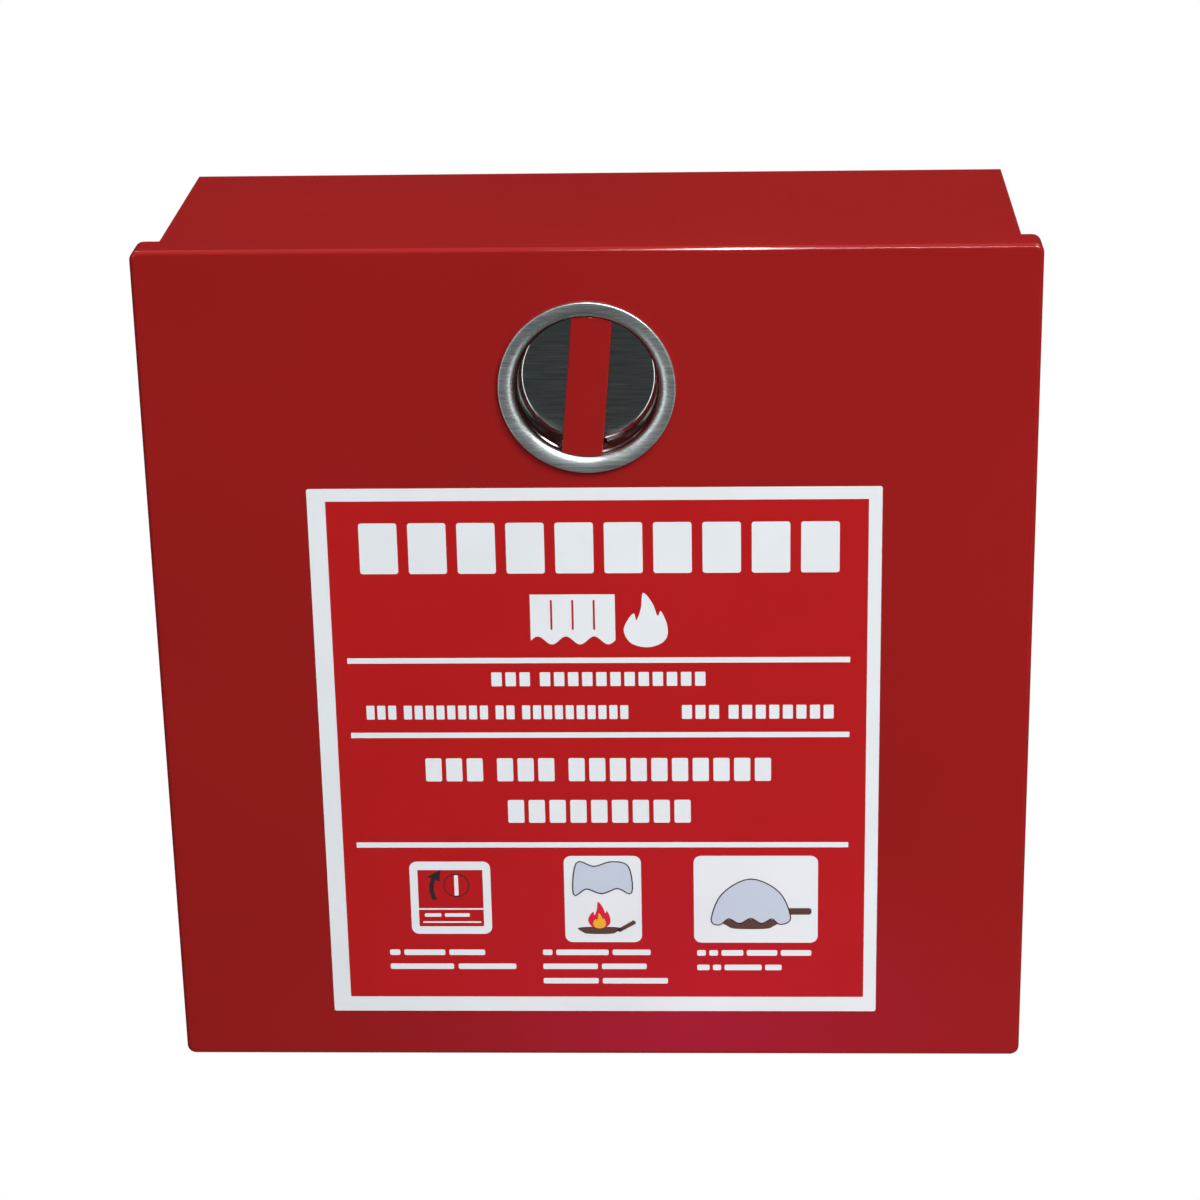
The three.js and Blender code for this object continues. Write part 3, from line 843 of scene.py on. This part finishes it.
def latch_bowl():
    """The pressed stainless bowl with its rolled lip and rim."""
    bowl = turned("latch_bowl_pressing", bowl_profile(), FINE, y=DOOR_FRONT, z=LATCH_Z)
    smooth(bowl, 50, flat_faces=False)
    return place(bowl, "door", "stainless", STAINLESS, "latch_bowl")


def turn_bar():
    """The painted bar across the bowl; its ends follow the bowl's lip and wall."""
    half, edge, play = 6.8, 0.35, 0.2  # half its width, its rounding, its room at the ends
    front, back = 0.05, 12.9  # depths behind the door's front
    sections = [(inset, front + rise) for inset, rise in quarter_bend(edge, 5)]
    sections += [(0, depth) for depth in (0.7, 1.1, 1.6, 2.0, 2.4, 2.9, 4.0, 9.0)]
    sections += [(0.5, 11.0), (0.9, 12.2), (1.5, back)]
    middle = Vector((0, DOOR_FRONT, LATCH_Z))
    turn = Matrix.Rotation(math.radians(BAR_LEAN), 3, "Y")
    loops = []
    for inset, depth in sections:
        radius = bowl_radius(depth) - play - inset
        side = half - (inset if depth <= front + edge else 0)
        sweep = math.degrees(math.acos(side / radius))
        outline = arc(0, 0, radius, sweep, 180 - sweep, 24)
        outline += arc(0, 0, radius, 180 + sweep, 360 - sweep, 24)
        loops.append([middle + turn @ Vector((x, depth, z)) for x, z in outline])
    piece = loft("turn_bar_casting", loops)
    smooth(piece, 50)
    place(piece, "latch", "red_paint", PAINT, "turn_bar")


def threaded_sleeve():
    """The bearing sleeve with its outside thread."""
    low, high = node_box("bearing_sleeve")
    crest, root, bore, pitch = 5.5, 5.05, 4.6, 0.9
    before, plain = 0.4, 0.6  # plain length before the thread, and in all
    profile = [(bore, high.y), (bore, low.y), (root, low.y)]
    for i in range(int((high.y - low.y - plain) / pitch)):
        start = low.y + before + i * pitch
        ridge = ((root, 0), (crest, 0.35), (crest, 0.5), (root, 0.85))
        profile += [(radius, start + along) for radius, along in ridge]
    profile.append((root, high.y))
    piece = turned("bearing_sleeve_thread", profile, ROUND, z=LATCH_Z)
    smooth(piece, 30)
    place(piece, "door", "zinc_steel", ZINC, "bearing_sleeve")


# ---------------------------------------------------------------- cabinet and hardware


def rivet(node, body):
    """A domed rivet with its flattened end."""
    low, high = node_box(node)
    middle = node_middle(node)
    axis, head, shank, end = 0.001, (high.x - low.x) / 2, 1.5, 2.4  # radii
    dome, flat, rounding = 1.0, 0.8, 0.4  # heights of the head and the end, the end's edge
    profile = [(axis, low.z)]
    profile += [(head * across, low.z + dome * (1 - up)) for up, across in arc(0, 0, 1, 0, 90, 8)[1:]]
    profile += [(shank, low.z + dome), (shank, high.z - flat), (end, high.z - flat)]
    profile += arc(end - rounding, high.z - rounding, rounding, 0, 90, 4)
    profile += [(0.9, high.z), (0.8, high.z - 0.4), (axis, high.z - 0.45)]
    piece = turned(node + "_steel", profile, RIVET_ROUND, middle.x, middle.y, axis="Z",
                   closed=False)
    smooth(piece, 40, flat_faces=False)
    place(piece, body, "zinc_steel", ZINC, node)


def cabinet():
    """The painted box, and the plated bracket that the cam catches behind."""
    for node in ("cabinet_wrap", "top_panel", "bottom_panel"):
        place(refined(node, node + "_painted", 0.22), "cabinet", "red_paint", PAINT, node)
    strike = refined("strike_plate", "strike_plate_zinc", 0.25)
    place(strike, "cabinet", "zinc_steel", ZINC, "strike_plate")


def plated(node, body, edge):
    """A zinc-plated piece in a CAD node's shape, with edges rounded so much."""
    place(refined(node, node + "_steel", edge), body, "zinc_steel", ZINC, node)


def hardware():
    """Hinges, rivets and the latch's inner parts."""
    for side in ("left", "right"):
        plated(f"hinge_leaf_cabinet_{side}", "cabinet", 0.2)
        plated(f"hinge_leaf_door_{side}", "door", 0.2)
        plated(f"hinge_pin_{side}", "cabinet", 0.15)
    for body, nodes in RIVET_NODES.items():
        for node in nodes:
            rivet(node, body)
    plated("clamp_bridge", "door", 0.25)
    plated("sleeve_nut", "door", 0.4)
    plated("spindle", "latch", 0.25)
    plated("cam", "latch", 0.35)
    plated("cam_washer", "latch", 0.2)
    plated("cam_bolt", "latch", 0.3)


# ---------------------------------------------------------------- blanket

LAYERS_ACROSS = 6  # layers in the strip that it is folded into first
LAYERS_UP = 7  # layers of that strip in the stack
CLOTH = 0.7  # thickness of the cloth
STITCH_SIDES = 6
STITCH_RINGS = ((0, 0.35), (0.25, 1), (0.75, 1), (1, 0.35))  # place along a stitch, thickness


def zigzag(distance, run, radius, count):
    """Where a folded line is after some distance: place along the run, place across the
    layers, and the direction (cos, sin) it goes in."""
    bend = math.pi * radius
    leg, left = 0, distance
    while leg < count - 1 and left > run + bend:
        left -= run + bend
        leg += 1
    way = 1 if leg % 2 == 0 else -1
    base = leg * 2 * radius
    if left <= run or leg == count - 1:
        return way * (left - run / 2), base, (way, 0.0)
    turn = (left - run) / radius
    along = way * (run / 2 + radius * math.sin(turn))
    across = base + radius * (1 - math.cos(turn))
    return along, across, (way * math.cos(turn), math.sin(turn))


def fold_steps(run, radius, count, run_steps, bend_steps):
    """Distances along a zigzag, close together in its bends."""
    steps, start = [], 0.0
    for leg in range(count):
        steps += [start + run * i / run_steps for i in range(run_steps)]
        start += run
        if leg < count - 1:
            steps += [start + math.pi * radius * i / bend_steps for i in range(bend_steps)]
            start += math.pi * radius
    return steps + [start]


def folded_sheet():
    """One sheet without thickness, folded across into a strip and then up into a stack."""
    low, high = node_box("folded_blanket")
    low.z = node_box("bottom_panel")[0].z + SHEET  # it rests on the panel
    size = high - low
    pitch = size.y / (LAYERS_ACROSS * LAYERS_UP)
    small, large = pitch / 2, pitch * LAYERS_ACROSS / 2  # radii of the two kinds of fold
    squeeze = 0.78  # how much of its share of the depth a strip fills
    slack = 1.5  # how far a layer may shift sideways
    middle = (low.z + high.z) / 2 - slack
    run_x = size.x - 2 * small - 2 * slack
    run_z = size.z - 2 * large * (1 + squeeze) - 2 * slack
    across = fold_steps(run_x, small, LAYERS_ACROSS, 12, 6)
    up = fold_steps(run_z, large, LAYERS_UP, 16, 10)
    points, places = [], []
    for v in up:
        z, depth, (cos_v, sin_v) = zigzag(v, run_z, large, LAYERS_UP)
        for u in across:
            x, layer, _ = zigzag(u, run_x, small, LAYERS_ACROSS)
            # each layer settles a little differently from its neighbours
            loose = 0.2 * pitch * math.sin(u * 0.021 + v * 0.017) * math.sin(v * 0.0311 + 1.3)
            shift_x = slack * math.sin(v * 0.0123 + 0.7 * layer)
            shift_z = slack * math.sin(u * 0.0087 + 1.1 * layer)
            offset = (layer + small - large) * squeeze + loose
            y = high.y - large - depth + offset * cos_v
            points.append((x + shift_x, y, middle + z + shift_z + offset * sin_v))
            places.append((u * MM, v * MM))
    width = len(across)
    corners = [row * width + i for row in range(len(up) - 1) for i in range(width - 1)]
    faces = [(i, i + 1, i + width + 1, i + width) for i in corners]
    piece = make_mesh("fire_blanket", points, faces)
    lay_uv(piece, places)
    return piece


def folded_blanket():
    """The blanket: the folded sheet with the cloth's thickness."""
    piece = folded_sheet()
    thick = piece.modifiers.new("cloth", "SOLIDIFY")
    thick.thickness = CLOTH * MM
    thick.offset = 0
    apply_modifiers(piece)
    smooth(piece, 60, flat_faces=False)
    place(piece, "cabinet", "glass_cloth", GLASS_CLOTH, "folded_blanket")


def ribbon(name, path, half_width, thickness, x):
    """A flat band along a path of (y, z), with rounded edges and a UV in metres."""
    edge = half_width - 0.5
    section = [(-half_width, 0), (-edge, 0.5), (edge, 0.5), (half_width, 0), (edge, -0.5), (-edge, -0.5)]
    loops, places, run = [], [], 0.0
    for i, point in enumerate(path):
        here = Vector(point)
        before = Vector(path[max(i - 1, 0)])
        after = Vector(path[min(i + 1, len(path) - 1)])
        along = (after - before).normalized()
        out = Vector((-along.y, along.x)) * thickness
        run += (here - before).length
        sway = 0.4 * math.sin(run * 0.045 + x)
        loops.append([(x + across + sway, *(here + out * lift)) for across, lift in section])
        places += [(across * MM, run * MM) for across, _ in section]
    piece = loft(name, loops)
    lay_uv(piece, places)
    smooth(piece, 40, flat_faces=False)
    return piece


def pull_tape(side):
    """A webbing tape that hangs down the blanket's front and turns up in a loop."""
    node = f"pull_tape_{side}"
    low, high = node_box(node)
    x = (low.x + high.x) / 2
    half_width = (high.x - low.x) / 2 - 4
    thickness, sewn = 0.9, half_width - 3  # sewn: half the width of the stitching
    front, back = low.y + 0.6, high.y - 0.4
    middle, radius, step = (front + back) / 2, (back - front) / 2, 4
    path = [(back, high.z + 2 - step * i) for i in range(30)]
    path += arc(middle, low.z + 2.5, radius, 360, 180, 8)
    path += [(front, low.z + 6 + step * i) for i in range(13)]
    tape = ribbon(node + "_webbing", path, half_width, thickness, x)
    place(tape, "cabinet", "tape_webbing", WEBBING, node)
    stitches(node + "_stitches", x, front - 0.5, low.z + 34, sewn, 9)
    stitches(node + "_stitches_top", x, back - 0.5, high.z - 14, sewn, 7)


def stitch_line(start, end):
    """Points (across, out, up) of the stitches on a line, each tapered at its ends."""
    radius, length, gap = 0.28, 2.0, 0.7  # of the thread, a stitch and the space after it
    along = (end - start).normalized()
    side = Vector((-along.y, along.x))
    points = []
    for i in range(int((end - start).length / (length + gap))):
        base = start + along * (i + 0.15) * (length + gap)
        for part, swell in STITCH_RINGS:
            centre = base + along * length * part
            for across, out in arc(0, 0, radius * swell, 0, 360, STITCH_SIDES)[:-1]:
                spot = centre + side * across
                points.append((spot.x, out, spot.y))
    return points


def stitches(name, x, y, z, half_width, half_height):
    """A box of thread with a cross in it."""
    corners = [
        Vector((half_width * side_x, half_height * side_z))
        for side_x, side_z in ((-1, -1), (1, -1), (1, 1), (-1, 1))
    ]
    points = []
    for first, last in ((0, 1), (1, 2), (2, 3), (3, 0), (0, 2), (1, 3)):
        line = stitch_line(corners[first], corners[last])
        points += [(x + across, y + out, z + up) for across, out, up in line]
    faces = []
    rings = len(STITCH_RINGS)
    for first in range(0, len(points), STITCH_SIDES * rings):
        faces += skin_faces(first, STITCH_SIDES, rings)
    piece = make_mesh(name, points, faces)
    face_out(piece)
    place(piece, "cabinet", "tape_webbing", THREAD)


# ---------------------------------------------------------------- stage


def camera():
    """Above and a little to the right of the door, looking slightly down."""
    data = bpy.data.cameras.new("camera")
    data.sensor_width = 36
    data.lens = 97.25
    view = bpy.data.objects.new("camera", data)
    yaw, pitch, roll = 0.04463, -0.37639, 0.02032  # radians
    turn = (Matrix.Rotation(yaw, 4, "Z") @ Matrix.Rotation(pitch, 4, "X")
            @ Matrix.Rotation(roll, 4, "Y") @ Matrix.Rotation(math.radians(90), 4, "X"))
    spot = Vector((48.8, DOOR_FRONT - 1025.8, 432.2)) * MM
    view.matrix_world = Matrix.Translation(spot) @ turn
    bpy.context.scene.collection.objects.link(view)
    bpy.context.scene.camera = view


def lamp(name, spot, target, width, height, radiance):
    """A soft rectangular light at spot, aimed at target, in metres."""
    data = bpy.data.lights.new(name, "AREA")
    data.shape = "RECTANGLE"
    data.size, data.size_y = width, height
    data.energy = radiance * math.pi * width * height
    light = bpy.data.objects.new(name, data)
    light.location = spot
    light.rotation_euler = (Vector(target) - Vector(spot)).to_track_quat("-Z", "Y").to_euler()
    light.visible_camera = False
    bpy.context.scene.collection.objects.link(light)
    return light


def only_on(light, pieces):
    """Limits a lamp or a glowing card to some pieces."""
    receivers = bpy.data.collections.new(light.name + "_receivers")
    for piece in pieces:
        receivers.objects.link(piece)
    light.light_linking.receiver_collection = receivers


def level_card(name, left, right, near, far, height):
    """A level rectangle, and the still empty nodes of its material."""
    corners = [(left, near, height), (right, near, height), (right, far, height), (left, far, height)]
    card = make_mesh(name, corners, [(0, 1, 2, 3)])
    material = bpy.data.materials.new(name)
    material.use_nodes = True
    material.node_tree.nodes.clear()
    card.data.materials.append(material)
    return card, Nodes(material)


def floor():
    """A plain floor below the reach of the open flap: white to the eye, grey to the light."""
    half, top = 12000, cad_box[0].z / MM - 850
    card, nodes = level_card("floor", -half, half, -half, half, top)
    seen = nodes.add("LightPath")
    grey = nodes.add("BsdfDiffuse", Color=(0.2, 0.2, 0.2, 1))
    white = nodes.add("Emission")
    either = nodes.add("MixShader")
    nodes.link(seen.outputs["Is Camera Ray"], either.inputs[0])
    nodes.link(grey.outputs[0], either.inputs[1])
    nodes.link(white.outputs[0], either.inputs[2])
    nodes.surface(either)
    card.visible_glossy = False


def glow_card(painted):
    """A violet card low in front, which only reflections see: it tints the door's lower right."""
    card, nodes = level_card("glow_card", left=-230, right=280, near=-1020, far=-400, height=-465)
    fade = nodes.add("TexGradient", {"gradient_type": "QUADRATIC_SPHERE"})
    from_middle = nodes.coordinates((2, 2, 0), "Generated", start=(-1, -1, 0))
    nodes.link(from_middle, fade.inputs["Vector"])
    glow = nodes.add("Emission", Color=(1, 0.02, 0.3, 1))
    nodes.link(nodes.math("MULTIPLY", fade.outputs["Fac"], 2.2), glow.inputs["Strength"])
    clear = nodes.add("BsdfTransparent")
    both = nodes.add("AddShader")
    nodes.link(glow.outputs[0], both.inputs[0])
    nodes.link(clear.outputs[0], both.inputs[1])
    nodes.surface(both)
    card.visible_camera = False
    card.visible_diffuse = False
    card.visible_shadow = False
    only_on(card, painted)


def surroundings():
    """White to the eye, a weak even fill, and in reflections dark with a brighter ceiling."""
    world = bpy.data.worlds.new("studio")
    world.use_nodes = True
    nodes = Nodes(world)
    background = nodes.tree.nodes["Background"]
    background.inputs["Color"].default_value = (0.98, 0.99, 1, 1)
    # how high a reflected ray goes, from -1 to 1, and the brightness there
    greys = ((-1, 0.07), (-0.24, 0.055), (0, 0.02), (0.44, 0.02), (0.84, 0.3))
    stops = [((height + 1) / 2, (grey, grey, grey)) for height, grey in greys]
    height = nodes.split(nodes.where("Generated"))["Z"]
    mirrored = nodes.ramp(nodes.span(height, 0, 1, -1, 1), *stops)
    seen = nodes.add("LightPath").outputs
    reflected = nodes.choose(seen["Is Glossy Ray"], 0.12, mirrored)
    strength = nodes.choose(seen["Is Camera Ray"], reflected, 1.0)
    nodes.link(strength, background.inputs["Strength"])
    bpy.context.scene.world = world


def studio(bowl):
    """A high key lamp, weak fills, and thin lamps for the highlights on bends and rim."""
    # name, place, target, width, height and radiance
    door = (0, -0.12, 0)
    lamp("key", (1.2, -1.25, 1.95), door, 1.1, 1.1, 18.3)
    lamp("fill", (-1.9, -1.7, 1.0), door, 1.2, 1.2, 1.2)
    edge = (-0.12, 0.15)
    lamp("sparkle", (0.051, -1.37, 1.7), (0.051, *edge), 0.063, 1.7, 46)
    lamp("sparkle_tail", (0.139, -1.6, 1.6), (0.139, *edge), 0.41, 0.08, 50)
    middle = (0, 0, 0)
    lamp("back_left", (-1.2, 1.6, 2.2), middle, 1.0, 1.0, 3.5)
    lamp("back_right", (1.2, 1.6, 2.2), middle, 1.0, 1.0, 3.5)
    lamp("under", (0, 0.25, -0.8), (0, -0.06, -0.15), 1.0, 1.0, 0.9)
    # these three light the back, the left side and the front's lower right, and stay out of
    # reflections
    behind = lamp("behind", (0.2, 2.4, 0.4), middle, 2.0, 1.5, 3.6)
    beside = lamp("beside", (-2.2, 0.5, 0.4), middle, 1.2, 1.2, 3.0)
    spill = lamp("spill", (0.32, -0.52, -0.36), (0, -0.12, -0.1), 0.25, 0.25, 4.6)
    for light in (behind, beside, spill):
        light.visible_glossy = False
    latch = (0, -0.12, 0.1)
    ahead = lamp("ahead", (0, -2.2, 0.45), latch, 1.7, 1.3, 0.24)
    only_on(ahead, [bowl])
    for side in (-1, 1):
        glint = lamp(f"glint_{side}", (side * 1.0, -1.3, -0.25), latch, 0.4, 1.5, 2.0)
        only_on(glint, [bowl])


camera()
skin = door_skin()
label()
bowl = latch_bowl()
turn_bar()
threaded_sleeve()
cabinet()
hardware()
folded_blanket()
for tape_side in ("left", "right"):
    pull_tape(tape_side)
floor()
glow_card([skin] + [piece for piece in bpy.data.objects if piece.name.startswith("label_")])
surroundings()
studio(bowl)
bpy.context.scene.view_settings.view_transform = "Standard"
